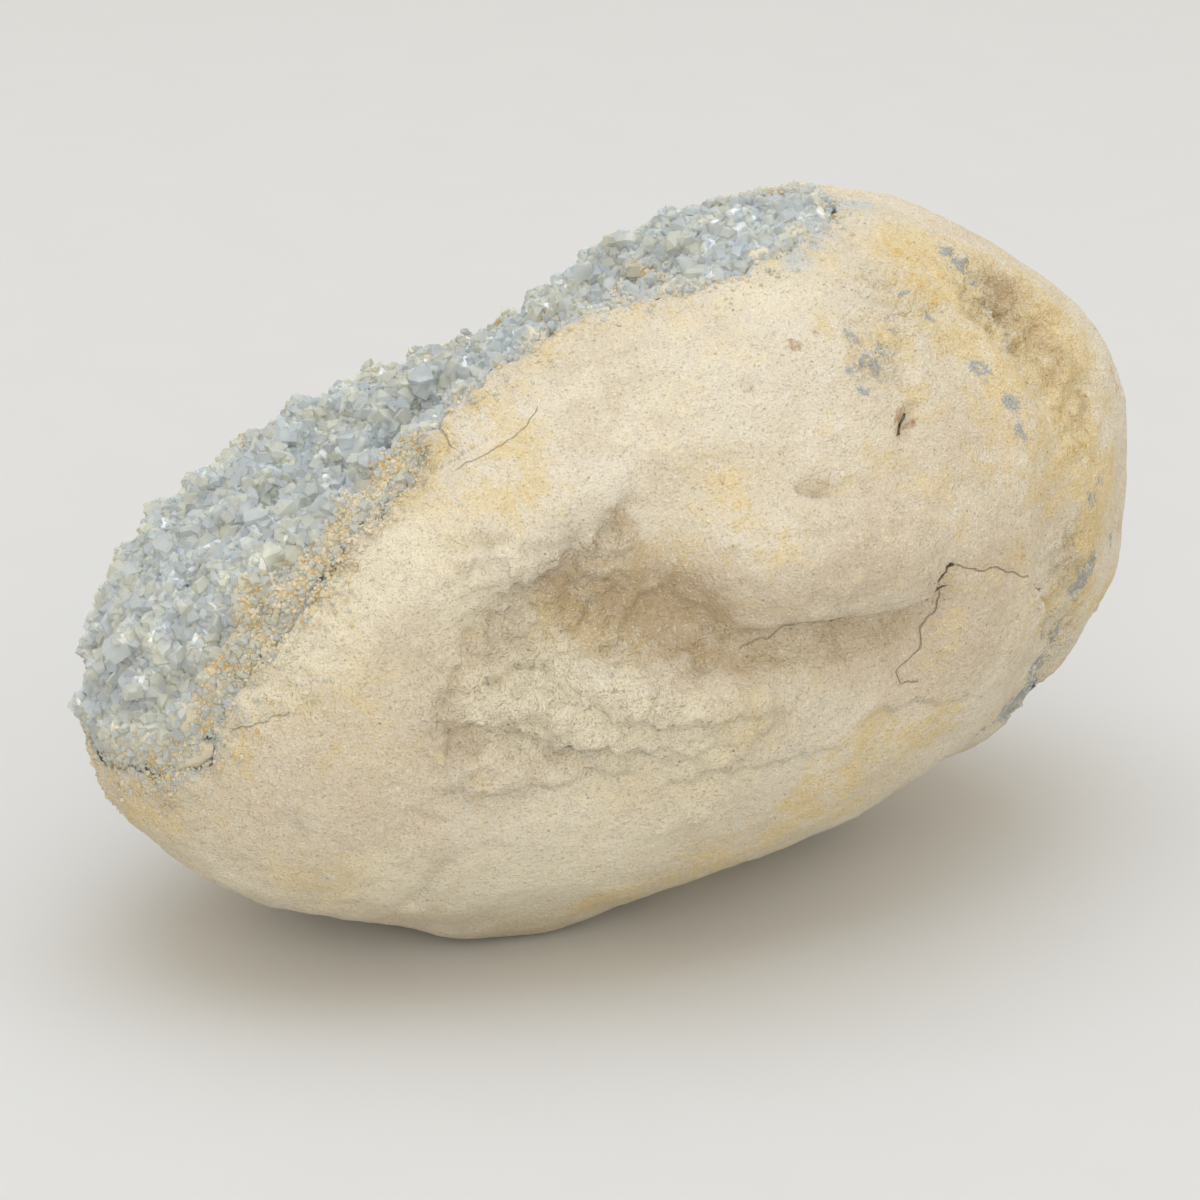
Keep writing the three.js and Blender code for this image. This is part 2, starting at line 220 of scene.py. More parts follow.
# The limestone nodule. Lines and marks are given by their points of the photograph, and lengths are in mm
stone = {
    "voxel": 1.45 * mm,
    "smoothTurns": 14,
    # faces turned to the camera past this cosine are made finer, but not the hollow's, which lie this far
    # inside the rim and under this height in the opening
    "finer": {"turned": 0.02, "inside": 2.5, "under": 30},
    # nothing is shaped under the crystals: inside the rim, and close to the crust
    "hidden": {"inside": (0.5, 3.0), "fromCrust": (4.0, 1.5)},
    "foot": {"height": -50.0, "fade": (0.3, 2.5)},  # the resting spot stays flat
    "behind": (0.1, -0.3),  # cosine to the camera where the unseen side starts and is full
    # height, size, octaves and shift of lumps: the skin's unevenness, and how cracks stray from their lines
    "swells": [(0.45, 9.0, 3, 3.0), (0.16, 2.2, 3, 5.0)],
    "wander": [(0.4, 4.0, 2, 9.0), (0.4, 1.7, 2, 10.0)],
    # what breaks up ledges and ridges: its lumps, and how far it moves each kind of line
    "ragged": {"lumps": (3.2, 3, 4.0), "ledge": 2.0, "ridge": 0.6},
    "ends": {"ledge": 0.12, "crack": 0.05},  # share of a line over which it fades at each end
    # a crack's dip in the skin: where it stops, its depth at full width, and what stands for no crack
    "groove": {"reach": (4.0, 2.6), "depth": 0.8, "fullWidth": 0.24, "halfWidth": 0.7, "none": 9.0},
    # the relief where it is rough: creases less their mean, and crumbs
    "broken": {
        "lift": 2.2, "creases": (6.0, 3, 1.0), "mean": 0.5, "creased": 1.2, "crumbs": (0.6, 2.4, 2, 2.0),
    },
    # patches where nothing is marked: size, octaves and shift, where they start and are full, and strength
    "patches": {
        "rough": (26, 3, 7.0, -0.1, 0.5, 0.9),
        "ochre": (16, 4, 8.0, -0.1, 0.6, 0.6),
        "clayAndPaintedShade": (24, 3, 11.0, -0.2, 0.5, 0.7),
        "slate": (12, 3, 12.0, 0.42, 0.7, 0.9),
    },
    "ochreShown": 0.4,  # share of the ochre patches that the side in the photograph has
    # along the rim: reach from the crystals, and strength
    "rimBands": {"rough": (5, 0.4), "ochre": (6.5, 1.0), "frost": (2.5, 0.8)},
    # the rim's iron stain is uneven, and turns whitish along the nodule
    "rimOchre": {"least": 0.5, "uneven": (0.6, 7.0, 3, 6.0), "whiteFrom": (20, 45), "whiter": 0.7},
    "crumbOchre": 0.8,
    "markFade": 1.2,  # how fast a mark fades from its middle
    # points, lift on the left of the line and on its right, reach, half width of the step, and raggedness;
    # left and right are those of a walk along the line, with the stone's outside up
    "ledges": [
        ([(463, 656), (499, 630), (542, 600), (573, 574), (603, 545), (632, 512)], -1.4, 1.3, 6.0, 3.4, 1.8),
        ([(452, 650), (480, 634), (508, 628), (536, 600), (560, 592), (580, 560)], 0.5, -0.4, 2.2, 0.6, 1.2),
        ([(500, 600), (524, 592), (548, 574), (574, 552), (596, 536)], 0.6, -0.4, 2.2, 0.5, 1.2),
        ([(592, 652), (612, 640), (628, 616), (648, 596), (668, 584)], 0.5, -0.7, 2.6, 0.6, 0.7),
        ([(470, 775), (446, 740), (436, 700), (446, 672), (464, 656)], 0.4, -1.0, 4.5, 0.6, 1.0),
        (
            [(715, 640), (786, 623), (847, 614), (890, 605), (908, 600), (930, 592), (945, 570)],
            1.4, -1.9, 6.5, 1.0, 0.12,
        ),
        ([(1028, 576), (1045, 610), (1049, 650), (1036, 690), (1005, 720)], -1.5, 0.2, 6.0, 0.6, 0.7),
        ([(400, 424), (440, 398), (500, 372), (560, 332), (600, 305)], -0.7, 0.2, 3.0, 0.5, 0.7),
        ([(445, 742), (500, 724), (545, 737), (600, 750), (660, 756)], 0.9, -0.8, 3.5, 0.5, 1.1),
        ([(430, 784), (480, 802), (540, 788), (600, 770), (655, 776)], 0.7, -0.6, 4.0, 0.5, 0.8),
        ([(318, 575), (352, 530), (392, 500), (425, 462), (446, 428)], -1.0, 0.4, 3.0, 0.45, 1.0),
        ([(640, 802), (700, 772), (770, 762), (850, 744)], 0.5, -0.4, 4.0, 0.6, 0.8),
        ([(560, 640), (590, 612), (622, 588)], 0.6, -0.8, 2.2, 0.4, 0.5),
        ([(944, 240), (970, 268), (992, 312), (1008, 360)], -1.2, 1.2, 3.0, 0.5, 0.6),
        ([(470, 690), (520, 668), (552, 656)], 0.8, -0.9, 2.5, 0.4, 0.9),
        ([(505, 604), (535, 578), (566, 562)], 0.8, -0.5, 2.0, 0.4, 0.9),
        ([(610, 712), (660, 726), (710, 722), (770, 712)], 0.7, -0.5, 2.6, 0.4, 0.8),
        ([(850, 470), (880, 500), (925, 530)], 0.3, -0.4, 3.0, 0.6, 0.5),
        ([(860, 715), (930, 700), (980, 690)], 0.4, -0.4, 3.0, 0.5, 0.6),
        ([(255, 662), (300, 618), (345, 575)], -0.6, 0.3, 2.5, 0.4, 0.8),
    ],
    # points, half width, height; a dent has a height below 0
    "ridges": [
        ([(546, 652), (580, 668), (610, 688), (660, 706), (700, 709), (760, 703)], 2.8, 1.7),
        ([(436, 712), (480, 700), (530, 704), (570, 722)], 2.0, 1.2),
        ([(600, 735), (650, 742), (690, 748)], 1.8, 0.9),
        ([(470, 738), (520, 750), (575, 754)], 2.0, -1.1),
        ([(590, 600), (630, 618), (690, 632)], 5.5, -2.2),
        ([(720, 655), (790, 640), (860, 630), (920, 622)], 3.2, -1.0),
        ([(780, 580), (840, 556), (900, 560)], 7.0, 1.7),
        ([(914, 406), (908, 420), (904, 434)], 0.8, -1.3),
        ([(464, 548), (496, 543)], 1.5, -1.6),
        ([(748, 384), (757, 386)], 1.2, -0.6),
        ([(800, 489), (822, 494)], 0.9, -1.4),
        ([(352, 512), (384, 484), (412, 456)], 3.0, -2.4),
        ([(330, 560), (300, 596), (262, 630)], 2.4, -0.8),
        ([(606, 540), (618, 524), (634, 506)], 1.2, -1.2),
        ([(1000, 282), (1022, 306), (1038, 334)], 3.2, -1.6),
        ([(1080, 378), (1088, 398)], 1.8, -1.5),
        ([(447, 866), (430, 884), (412, 906)], 1.0, -1.2),
        ([(160, 766), (182, 757), (206, 737)], 0.9, -1.6),
        ([(410, 813), (424, 818), (441, 822)], 0.6, -0.7),
        ([(295, 826), (303, 838)], 0.7, -0.7),
        ([(520, 655), (560, 642), (600, 650)], 1.8, -1.0),
        ([(820, 690), (880, 672), (930, 660)], 2.5, -0.6),
        ([(640, 490), (700, 470), (760, 474)], 3.0, -0.5),
    ],
    # points, half width of the line, its shift down the stone, and the layer that holds it; a spot holds one
    # crack of each layer, so cracks that meet are in different ones
    "crackLayers": ("main", "fork", "bend"),
    "cracks": [
        ([(737, 636), (762, 629), (786, 623), (842, 615)], 0.05, 1.7, "main"),
        ([(840, 616), (890, 605), (908, 600), (930, 594), (946, 578)], 0.16, 1.9, "main"),
        ([(942, 592), (943, 580), (949, 568), (960, 562)], 0.24, 0, "bend"),
        ([(956, 564), (980, 570), (1002, 569), (1030, 577)], 0.07, 0, "bend"),
        (
            [
                (944, 592), (945, 599), (938, 617), (925, 629), (922, 647), (908, 664), (899, 675),
                (902, 684), (924, 681),
            ],
            0.07, 0, "fork",
        ),
        ([(452, 470), (472, 462), (497, 449), (524, 427), (541, 404)], 0.05, 0, "main"),
        ([(228, 733), (240, 730), (266, 722), (292, 711)], 0.05, 0, "main"),
        ([(430, 424), (446, 440), (462, 457)], 0.06, 0, "fork"),
        ([(158, 767), (182, 757), (206, 738)], 0.34, 0, "main"),
        ([(914, 406), (908, 420), (904, 434)], 0.2, 0, "main"),
    ],
    # x, y and radius in points of the photograph, and strength
    "ochre": [
        (228, 640, 36, 0.9), (262, 606, 30, 0.8), (318, 560, 36, 1.0), (350, 520, 26, 0.8),
        (390, 480, 38, 1.0), (425, 415, 22, 0.7), (475, 400, 30, 0.6), (520, 440, 30, 0.7),
        (545, 350, 30, 0.6), (605, 290, 34, 1.1), (655, 276, 24, 1.0), (715, 330, 40, 0.4),
        (720, 480, 40, 0.6), (765, 545, 30, 0.5), (740, 500, 20, 0.6), (565, 625, 36, 0.8),
        (600, 590, 26, 0.6), (640, 640, 30, 0.4), (620, 800, 60, 0.5), (700, 870, 70, 0.6),
        (600, 900, 40, 0.8), (820, 800, 80, 0.6), (930, 730, 50, 0.5), (900, 245, 40, 1.0),
        (935, 290, 40, 1.0), (885, 345, 30, 0.7), (820, 320, 30, 0.5), (1010, 380, 40, 0.6),
        (1070, 450, 40, 0.7), (1050, 610, 30, 1.1), (1090, 540, 34, 0.9), (1100, 600, 30, 0.8),
        (350, 885, 50, 0.7), (280, 880, 40, 0.6), (165, 820, 30, 0.6), (205, 700, 14, 1.1),
        (960, 620, 30, 0.4), (740, 730, 44, 0.6), (350, 700, 60, 0.3), (250, 690, 24, 0.5),
        (520, 500, 30, 0.5), (690, 545, 24, 0.5), (860, 460, 34, 0.4), (700, 790, 40, 0.5),
        (930, 200, 30, 0.6), (1050, 330, 50, 0.6), (1110, 470, 34, 0.6), (470, 640, 24, 0.4),
        (870, 740, 34, 0.5), (450, 560, 24, 0.4), (560, 690, 40, 0.5), (500, 700, 40, 0.35),
        (640, 720, 40, 0.5), (1020, 310, 60, 0.7), (1065, 370, 50, 0.6), (1060, 400, 130, 0.55),
        (960, 280, 90, 0.5), (1085, 440, 50, 0.6), (1000, 400, 50, 0.3), (955, 330, 50, 0.5),
        (1100, 500, 44, 0.6), (1040, 480, 60, 0.4), (1080, 600, 40, 0.8), (600, 640, 40, 0.5),
        (560, 620, 30, 0.5), (720, 650, 60, 0.3), (640, 560, 40, 0.3), (500, 500, 60, 0.4),
        (420, 520, 50, 0.5), (360, 600, 50, 0.5), (300, 660, 40, 0.4), (740, 300, 50, 0.3),
    ],
    # partly a whitish cream tone, partly painted light: lighter colour along the lower edge and the left rim,
    # where the stone takes less light
    "creamAndPaintedLight": [
        (520, 690, 50, 0.8), (560, 668, 40, 0.9), (600, 700, 44, 0.9), (650, 730, 40, 0.8),
        (500, 720, 40, 0.8), (700, 740, 50, 0.6), (540, 740, 40, 0.5), (500, 570, 50, 0.6),
        (460, 620, 40, 0.5), (820, 570, 50, 0.25), (780, 700, 60, 0.25), (680, 360, 110, 0.3),
        (570, 400, 70, 0.3), (740, 300, 60, 0.4), (900, 500, 60, 0.1), (680, 450, 70, 0.2),
        (440, 545, 50, 0.4), (380, 600, 50, 0.3), (520, 880, 80, 0.9), (610, 860, 70, 0.9),
        (400, 890, 70, 0.8), (300, 650, 50, 0.9), (350, 600, 50, 0.8), (700, 800, 70, 0.6),
        (250, 700, 40, 0.6), (600, 790, 50, 0.5), (250, 880, 60, 0.6), (800, 280, 50, 0.4),
        (860, 230, 40, 0.4), (400, 540, 40, 0.6),
    ],
    "rust": [
        (599, 541, 8, 1.2), (606, 533, 7, 0.9), (628, 516, 10, 0.8), (792, 345, 14, 0.8),
        (815, 334, 10, 0.6), (640, 286, 10, 0.8), (606, 292, 10, 0.6), (207, 702, 9, 1.0),
        (207, 732, 10, 1.1), (190, 750, 12, 0.9), (1008, 288, 28, 0.8), (1060, 362, 20, 0.6),
        (1086, 392, 16, 0.8), (752, 386, 12, 0.7), (908, 418, 16, 1.1), (1024, 552, 12, 0.6),
        (1115, 380, 22, 0.6), (482, 546, 14, 0.5), (1030, 320, 20, 0.5), (600, 894, 10, 0.7),
    ],
    # partly a pinkish-beige clay tone at the lower left and in the dent, partly painted shade: the marks over
    # the right side darken it where less light falls
    "clayAndPaintedShade": [
        (400, 800, 120, 0.4), (280, 790, 80, 0.4), (480, 730, 50, 0.7), (510, 860, 80, 0.3),
        (560, 600, 46, 0.8), (650, 590, 46, 0.8), (710, 580, 44, 0.7), (482, 546, 18, 1.0),
        (860, 560, 40, 0.3), (690, 650, 60, 0.6), (1010, 290, 36, 0.7), (300, 660, 60, 0.25),
        (850, 650, 60, 0.7), (600, 840, 70, 0.2), (780, 600, 40, 0.5), (860, 560, 60, 0.7),
        (930, 620, 60, 0.8), (1000, 560, 60, 0.8), (970, 660, 60, 0.8), (900, 500, 60, 0.5),
        (1050, 500, 50, 0.7), (820, 580, 50, 0.6), (900, 690, 50, 0.6), (1080, 560, 50, 0.6),
        (980, 420, 70, 0.5), (930, 450, 60, 0.4), (960, 230, 60, 0.4), (900, 260, 60, 0.4),
    ],
    # painted shade, with some clay tone: darker colour in the dent, in a band under the lobe's overhang and
    # in smaller hollows
    "umberAndPaintedShade": [
        (590, 600, 56, 0.75), (640, 600, 60, 0.75), (690, 618, 50, 0.7), (560, 590, 36, 0.4),
        (500, 655, 30, 0.5), (740, 640, 34, 0.6), (790, 636, 30, 0.6), (840, 628, 28, 0.6),
        (885, 620, 26, 0.6), (622, 524, 20, 0.9), (750, 655, 40, 0.5), (830, 645, 40, 0.4),
        (470, 684, 30, 0.5), (445, 730, 26, 0.3), (900, 625, 30, 0.5), (1010, 300, 40, 0.8),
        (1046, 350, 40, 0.6), (1000, 280, 20, 0.7), (384, 486, 20, 0.5), (820, 492, 16, 0.6),
        (482, 546, 16, 0.8), (1085, 400, 20, 0.6), (1120, 520, 30, 0.5), (872, 362, 34, 0.35),
    ],
    "slate": [
        (866, 358, 16, 0.9), (884, 350, 14, 0.9), (862, 392, 10, 1.1), (848, 335, 12, 0.8),
        (962, 268, 18, 0.9), (975, 282, 12, 0.9), (992, 322, 16, 1.0), (985, 372, 16, 1.1),
        (972, 360, 12, 0.8), (1014, 408, 12, 1.1), (1024, 440, 10, 0.9), (1092, 562, 26, 0.9),
        (1062, 632, 22, 1.0), (1040, 668, 24, 1.1), (1010, 712, 26, 1.1), (905, 292, 12, 0.9),
        (944, 252, 12, 1.0), (985, 305, 12, 1.0), (1000, 345, 12, 1.0), (850, 374, 9, 1.0),
        (880, 376, 9, 0.9), (1018, 425, 10, 1.0), (1092, 500, 16, 0.8), (1110, 540, 20, 0.8),
        (930, 318, 10, 0.8), (896, 330, 10, 0.8), (1056, 650, 16, 1.2), (1044, 668, 16, 1.3),
        (1030, 686, 16, 1.3), (1014, 702, 16, 1.3), (998, 716, 14, 1.2), (980, 730, 14, 1.1),
        (875, 365, 8, 1.2), (955, 262, 9, 1.2), (1008, 400, 9, 1.2), (1100, 480, 14, 1.0),
        (1078, 590, 18, 1.0), (1070, 545, 14, 0.9),
    ],
    "frost": [
        (780, 235, 40, 1.2), (740, 250, 38, 1.1), (720, 240, 30, 1.0), (800, 225, 30, 1.0),
        (700, 262, 26, 0.8), (822, 212, 26, 0.9), (450, 372, 22, 0.7), (500, 345, 26, 0.7),
        (560, 300, 20, 0.6), (800, 262, 26, 0.6), (410, 400, 16, 0.6), (860, 205, 26, 0.6),
    ],
    "rough": [
        (540, 590, 46, 0.9), (500, 640, 40, 1.0), (620, 650, 40, 0.5), (700, 650, 40, 0.5),
        (520, 720, 60, 1.0), (600, 740, 60, 0.8), (480, 780, 50, 0.5), (390, 480, 44, 1.0),
        (330, 550, 44, 0.9), (250, 640, 40, 0.9), (600, 300, 50, 0.8), (900, 300, 60, 0.8),
        (980, 300, 60, 1.0), (1010, 330, 50, 1.0), (1070, 420, 50, 0.8), (1070, 560, 50, 1.0),
        (1060, 640, 50, 1.0), (1030, 700, 40, 1.0), (700, 760, 60, 0.5), (880, 360, 40, 0.7),
        (620, 520, 20, 0.7), (1000, 650, 30, 0.3), (440, 400, 40, 0.6), (170, 770, 30, 0.7),
        (560, 680, 50, 1.0), (450, 700, 40, 0.8), (590, 560, 40, 0.8), (780, 700, 60, 0.4),
        (650, 700, 50, 0.7), (470, 560, 40, 0.6), (820, 480, 30, 0.5),
    ],
    # where crumbs lie between the skin's broken edge and the crystals
    "crumbs": [
        (206, 725, 9, 1.0), (208, 695, 12, 1.2), (214, 668, 16, 1.1), (232, 642, 22, 1.2),
        (258, 612, 26, 1.3), (288, 588, 24, 1.2), (312, 562, 22, 1.2), (338, 532, 20, 1.1),
        (362, 500, 22, 1.1), (388, 470, 18, 1.0), (410, 440, 12, 0.9), (424, 412, 9, 0.8),
        (188, 752, 12, 1.1), (160, 768, 12, 0.9), (120, 766, 12, 0.9), (585, 304, 16, 1.0),
        (612, 290, 16, 1.2), (640, 281, 16, 1.2), (664, 276, 12, 0.9), (552, 326, 12, 0.8),
        (98, 752, 10, 0.7), (500, 366, 8, 0.5),
    ],
    # noises of the stone's colour and grain, with size, detail and roughness: sand, coarser sand, crumbs,
    # stains, and the slow drift of tone over the nodule
    "noises": {
        "grit": (0.36, 2, 0.6),
        "sand": (1.0, 3, 0.65),
        "crumb": (2.6, 3, 0.62),
        "mottle": (6.0, 4, 0.66),
        "drift": (21.0, 3, 0.58),
    },
    "body": "#ddd0b6",
    # stored mark, its noises, where it starts and is full, how much it covers, and its colour; besides
    # stains, the umber, clay and cream marks carry painted shade and painted light
    "layers": [
        (None, {"drift": 1.0}, -0.14, 0.14, 1.0, "#e7ddc8"),
        (None, {"mottle": 1.0}, -0.06, 0.16, 0.5, "#ebe4d6"),
        # clay tone, with painted shade on the right side
        ("clayAndPaintedShade", {"mottle": 1.0, "crumb": 0.5}, 0.15, 0.85, 0.8, "#d2c1a8"),
        ("ochre", {"mottle": 2.2, "crumb": 1.5}, 0.1, 0.8, 0.8, "#e4cd98"),
        ("ochre", {"crumb": 2.2, "sand": 2.0}, 0.8, 1.4, 0.8, "#d9b05a"),
        ("rust", {"crumb": 1.2, "sand": 1.6}, 0.4, 1.0, 0.75, "#9c6430"),
        # painted shade in the dent, under the lobe and in hollows, with some clay tone
        ("umberAndPaintedShade", {"mottle": 1.2, "crumb": 1.1}, 0.1, 1.05, 0.85, "#c0aa89"),
        # whitish cream tone, with painted light along the lower edge and the left rim
        ("creamAndPaintedLight", {"mottle": 1.4, "crumb": 1.0}, 0.15, 0.8, 0.8, "#f1e8cf"),
        ("frost", {"crumb": 1.4, "sand": 0.8}, 0.2, 0.7, 0.85, "#c9cdcc"),
        ("slate", {"crumb": 2.0, "sand": 2.2}, 0.55, 1.0, 0.85, "#a0a7ab"),
        (None, {"grit": -1.0, "sand": -0.4}, 0.06, 0.26, 0.55, "#a9936f"),
        (None, {"grit": 1.0, "sand": 0.4}, 0.05, 0.22, 0.5, "#fcf8ee"),
    ],
    "dots": {"cell": 1.9, "colour": "#6b6370"},
    "crackColour": "#4e3c2a",
    "crackDepth": 0.9,
    # height of each noise, on the smooth skin and added where it is rough
    "relief": {"grit": (0.5, 0.0), "sand": (0.6, 0.5), "crumb": (0.6, 1.5)},
    "chips": {"cell": 2.2, "height": 0.7, "bend": 2},  # rounded crumbs of a broken face
}


def makeStone():
    piece = copyOfNode("matrix", "limestone_nodule")
    applyModifier(piece, "REMESH", mode="VOXEL", voxel_size=stone["voxel"])
    applyModifier(piece, "SMOOTH", factor=0.5, iterations=stone["smoothTurns"])
    finer = stone["finer"]
    faces = piece.data.polygons
    middles = fromMiddle(valuesOf(faces, "center", 3))
    inHollow = (rimReach(middles) > finer["inside"]) & (onAxis(middles, openingUp) < finer["under"])
    towards = valuesOf(faces, "normal", 3) @ np.array(viewBack)
    selectFaces(piece, (towards > finer["turned"]) & ~inHollow)
    bpy.ops.object.mode_set(mode="EDIT")
    bpy.ops.mesh.subdivide(number_cuts=1, smoothness=0)
    bpy.ops.object.mode_set(mode="OBJECT")
    return piece


# The rim as a smooth closed line on the opening's axes
def rimLine(steps=8):
    rim = np.array(opening["rim"], float)
    line = []
    for i in range(len(rim)):
        before, start, end, after = (rim[(i + k - 1) % len(rim)] for k in range(4))
        for k in range(steps):
            t = k / steps
            line.append(
                0.5
                * (
                    2 * start
                    + (end - before) * t
                    + (2 * before - 5 * start + 4 * end - after) * t**2
                    + (3 * start - before - 3 * end + after) * t**3
                )
            )
    return np.array(line)


# How far each spot lies along one of the opening's axes
def onAxis(spots, axis):
    return (spots - np.array(opening["middle"])) @ np.array(axis)


# How far inside the rim each spot is, looking straight into the opening; outside it is below 0
def rimReach(spots):
    flat = np.stack([onAxis(spots, openingAlong), onAxis(spots, openingAcross)], 1)
    line = rimLine()
    nearest = np.full(len(flat), 1e9)
    crossings = np.zeros(len(flat), int)
    for start, end in zip(line, np.roll(line, -1, 0)):
        edge = end - start
        share = np.clip(((flat - start) @ edge) / (edge @ edge), 0, 1)
        nearest = np.minimum(nearest, np.linalg.norm(flat - start - share[:, None] * edge, axis=1))
        if start[1] == end[1]:
            continue
        level = (start[1] <= flat[:, 1]) != (end[1] <= flat[:, 1])
        at = start[0] + (flat[:, 1] - start[1]) / (end[1] - start[1]) * edge[0]
        crossings += level & (flat[:, 0] < at)
    return np.where(crossings % 2 == 1, nearest, -nearest)


# Where a point of the photograph lies on a piece, in mm from the middle of the egg
def photoSpot(trees, x, y):
    hits = [tree.ray_cast(viewSpot, sightLine(x, y)) for tree in trees]
    hits = [hit for hit in hits if hit[0] is not None]
    return fromMiddle(np.array(min(hits, key=lambda hit: hit[3])[0])) if hits else None


# How strongly marks laid on the photograph cover each spot, 0 to 1
def blotches(spots, trees, marks):
    pointScale = view["distance"] * view["sensor"] / view["lens"] / view["imageSide"] / mm  # mm to a point
    total = np.ones(len(spots))
    for x, y, radius, strength in marks:
        middle = photoSpot(trees, x, y)
        if middle is not None:
            away = np.linalg.norm(spots - middle, axis=1) / (radius * pointScale)
            total *= np.clip(1 - strength * np.exp(-(away**2) * stone["markFade"]), 0, 1)
    return 1 - total


# Distance to a drawn line, height above it on the surface, and how far along it, 0 to 1
def nearLine(spots, normals, line):
    reach = np.full(len(spots), 1e9)
    above = np.zeros(len(spots))
    along = np.zeros(len(spots))
    lengths = np.linalg.norm(np.diff(line, axis=0), axis=1)
    for i, (start, end) in enumerate(zip(line, line[1:])):
        edge = end - start
        share = np.clip(((spots - start) @ edge) / (edge @ edge), 0, 1)
        offset = spots - start - share[:, None] * edge
        distance = np.linalg.norm(offset, axis=1)
        closer = distance < reach
        side = np.einsum("ij,ij->i", offset, np.cross(normals, edge / lengths[i]))
        reach = np.where(closer, distance, reach)
        above = np.where(closer, side, above)
        along = np.where(closer, (lengths[:i].sum() + share * lengths[i]) / lengths.sum(), along)
    return reach, above, along


# A line drawn on the photograph, as it lies on the stone
def lineOn(tree, points):
    return np.array([s for s in (photoSpot([tree], *p) for p in points) if s is not None])


def fadedEnds(along, share):
    return smoothStep(0, share, along) * smoothStep(1, 1 - share, along)


def patches(spots, name, where):
    size, octaves, shift, low, high, strength = stone["patches"][name]
    return strength * (smoothStep(low, high, lumps(spots, size, octaves, shift)) * where)


def rimBand(rimAway, name):
    reach, strength = stone["rimBands"][name]
    return strength * np.exp(-((rimAway / reach) ** 2))


def liftLedges(lift, spots, normals, tree):
    ragged = lumps(spots, *stone["ragged"]["lumps"])
    for points, left, right, reach, steepness, rag in stone["ledges"]:
        away, above, along = nearLine(spots, normals, lineOn(tree, points))
        ends = fadedEnds(along, stone["ends"]["ledge"])
        step = smoothStep(-steepness, steepness, above + ragged * rag * stone["ragged"]["ledge"])
        lift += ends * np.exp(-((away / reach) ** 2)) * (step * left + (1 - step) * right)
    for points, width, height in stone["ridges"]:
        away = nearLine(spots, normals, lineOn(tree, points))[0]
        away = np.maximum(away + ragged * stone["ragged"]["ridge"] * width, 0)
        lift += height * np.exp(-((away / width) ** 2))


# Each layer of cracks stores its side and its width, which the material draws
def liftCracks(lift, piece, spots, normals, tree):
    groove = stone["groove"]
    wander = heaped(spots, stone["wander"])
    sides = {layer: np.full(len(spots), groove["none"]) for layer in stone["crackLayers"]}
    widths = {layer: np.zeros(len(spots)) for layer in sides}
    for points, width, shift, layer in stone["cracks"]:
        away, above, along = nearLine(spots, normals, lineOn(tree, points))
        near = fadedEnds(along, stone["ends"]["crack"]) * smoothStep(*groove["reach"], away)
        side = above + wander + shift
        sides[layer] = np.where(near > 0, side, sides[layer])
        widths[layer] = np.where(near > 0, near * width, widths[layer])
        dip = np.exp(-((side / groove["halfWidth"]) ** 2))
        lift -= groove["depth"] * near * (width / groove["fullWidth"]) * dip
    for layer in sides:
        storeValue(piece, layer + "Side", sides[layer])
        storeValue(piece, layer + "Near", widths[layer])


def shapeStone(piece):
    spots, normals = spotsOf(piece)
    tree = BVHTree.FromObject(piece, bpy.context.evaluated_depsgraph_get())
    crust = BVHTree.FromObject(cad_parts["crystal_crust"], bpy.context.evaluated_depsgraph_get())
    rimAway = np.array([crust.find_nearest(Vector(s) * mm + noduleMiddle)[3] or 1.0 for s in spots]) / mm
    behind = smoothStep(*stone["behind"], normals @ np.array(viewBack))

    def marked(name):
        return blotches(spots, [tree, crust], stone[name])

    lift = np.zeros(len(spots))
    liftLedges(lift, spots, normals, tree)
    liftCracks(lift, piece, spots, normals, tree)
    broken = stone["broken"]
    rough = np.maximum(marked("rough"), patches(spots, "rough", behind))
    rough = np.clip(rough + rimBand(rimAway, "rough"), 0, 1)
    chips = broken["creased"] * (creases(spots, *broken["creases"]) - broken["mean"])
    lift += rough * (chips + heaped(spots, [broken["crumbs"]])) * broken["lift"]
    lift += heaped(spots, stone["swells"])
    hidden = smoothStep(*stone["hidden"]["inside"], rimReach(spots))
    hidden *= smoothStep(*stone["hidden"]["fromCrust"], rimAway)
    foot = smoothStep(*stone["foot"]["fade"], spots[:, 2] - stone["foot"]["height"])
    spots = spots + normals * (lift * (1 - hidden) * foot)[:, None]
    spots[:, 2] = np.maximum(spots[:, 2], stone["foot"]["height"])
    moveSpots(piece, spots)

    # stains, and the painted shade and painted light of the umber, clay and cream marks, are laid on the
    # shaped skin
    rim = stone["rimOchre"]
    band = rimBand(rimAway, "ochre") * (rim["least"] + heaped(spots, [rim["uneven"]]))
    band *= 1 - smoothStep(*rim["whiteFrom"], spots[:, 0]) * rim["whiter"]
    ochre = np.maximum(np.maximum(marked("ochre"), band), stone["crumbOchre"] * marked("crumbs"))
    shownShare = stone["ochreShown"]
    ochre = np.maximum(ochre, patches(spots, "ochre", shownShare + (1 - shownShare) * behind))
    slate = np.maximum(marked("slate"), patches(spots, "slate", behind))
    storeValue(piece, "ochre", ochre)
    for name in ("rust", "creamAndPaintedLight", "umberAndPaintedShade"):
        storeValue(piece, name, marked(name))
    storeValue(piece, "clayAndPaintedShade", np.maximum(marked("clayAndPaintedShade"), patches(spots, "clayAndPaintedShade", behind)))
    storeValue(piece, "slate", slate)
    storeValue(piece, "frost", np.maximum(marked("frost"), rimBand(rimAway, "frost")))
    storeValue(piece, "rough", rough)
    return rimAway, slate


